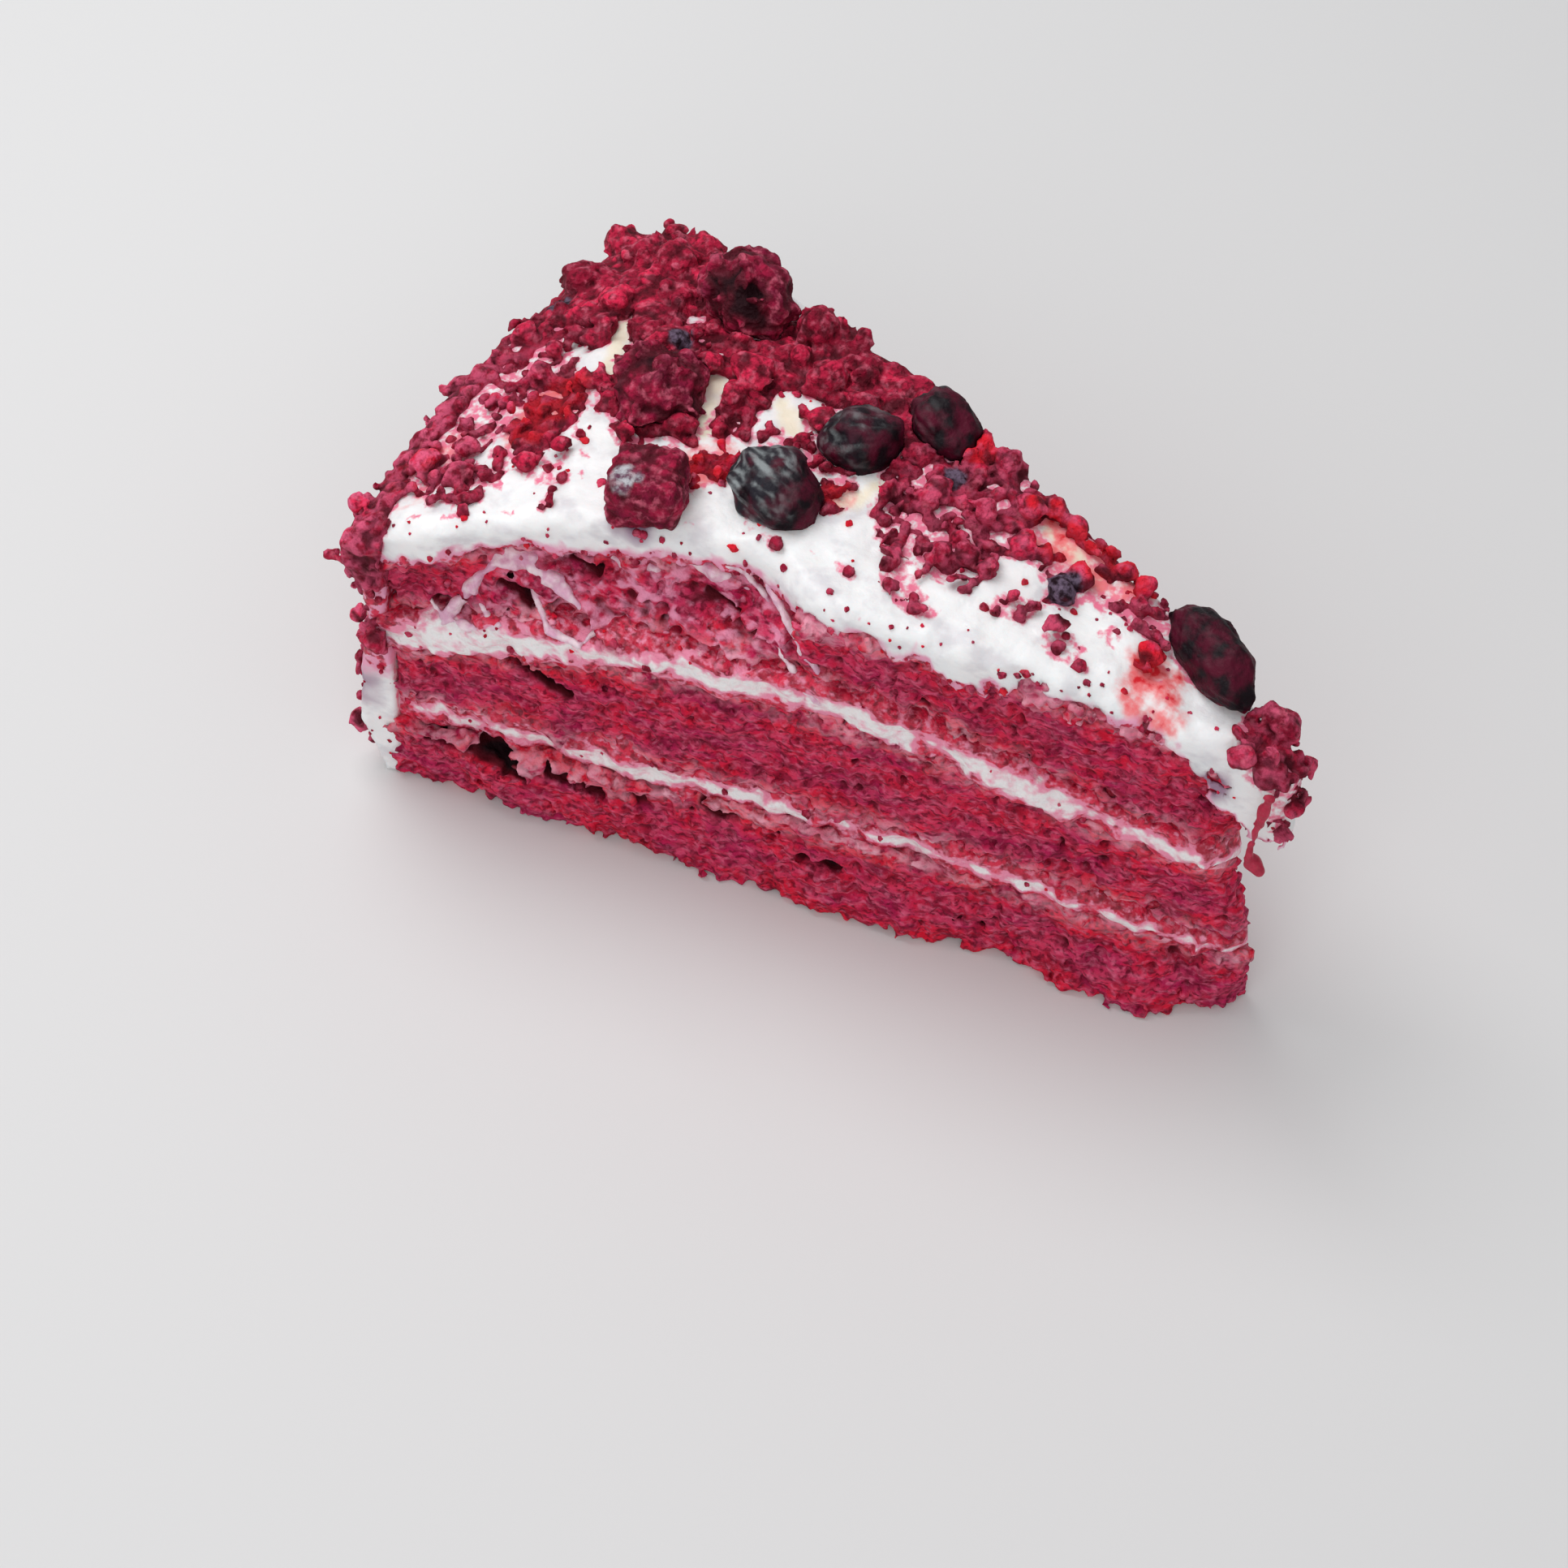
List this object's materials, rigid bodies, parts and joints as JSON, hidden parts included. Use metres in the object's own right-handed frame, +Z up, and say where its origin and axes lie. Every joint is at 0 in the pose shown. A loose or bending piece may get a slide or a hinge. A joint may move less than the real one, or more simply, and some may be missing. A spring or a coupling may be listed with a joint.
{
  "type": "red velvet cake slice",
  "caption": "Wedge of red velvet layer cake: sponges with cream fillings, frosted top and rim, cake crumbs and dark berries on top.",
  "frame": {"origin": "on the underside, on the slice's middle line, 66 mm from the whole cake's axis", "axes": "+X from the rim to the tip along the slice's middle line, +Z up"},
  "size_m": [0.1264, 0.0704, 0.0631],
  "materials": {
    "sponge": "open, crumbly sponge, matt",
    "filling": "soft cream, stained pink",
    "frosting": "soft cream, satin",
    "crumb": "dark cake crumb, matt",
    "berry": "wrinkled dark berry with a grey bloom"
  },
  "bodies": {
    "root": {"sponge_bottom": "sponge", "filling_lower": "filling", "sponge_middle": "sponge", "filling_upper": "filling", "sponge_top": "sponge", "frosting": "frosting", "berry_large": "berry", "berry_round": "berry", "berry_back": "berry", "berry_long": "berry", "chunk_square": "crumb", "chunk_corner": "crumb", "chunk_middle": "crumb"}
  },
  "joints": []
}
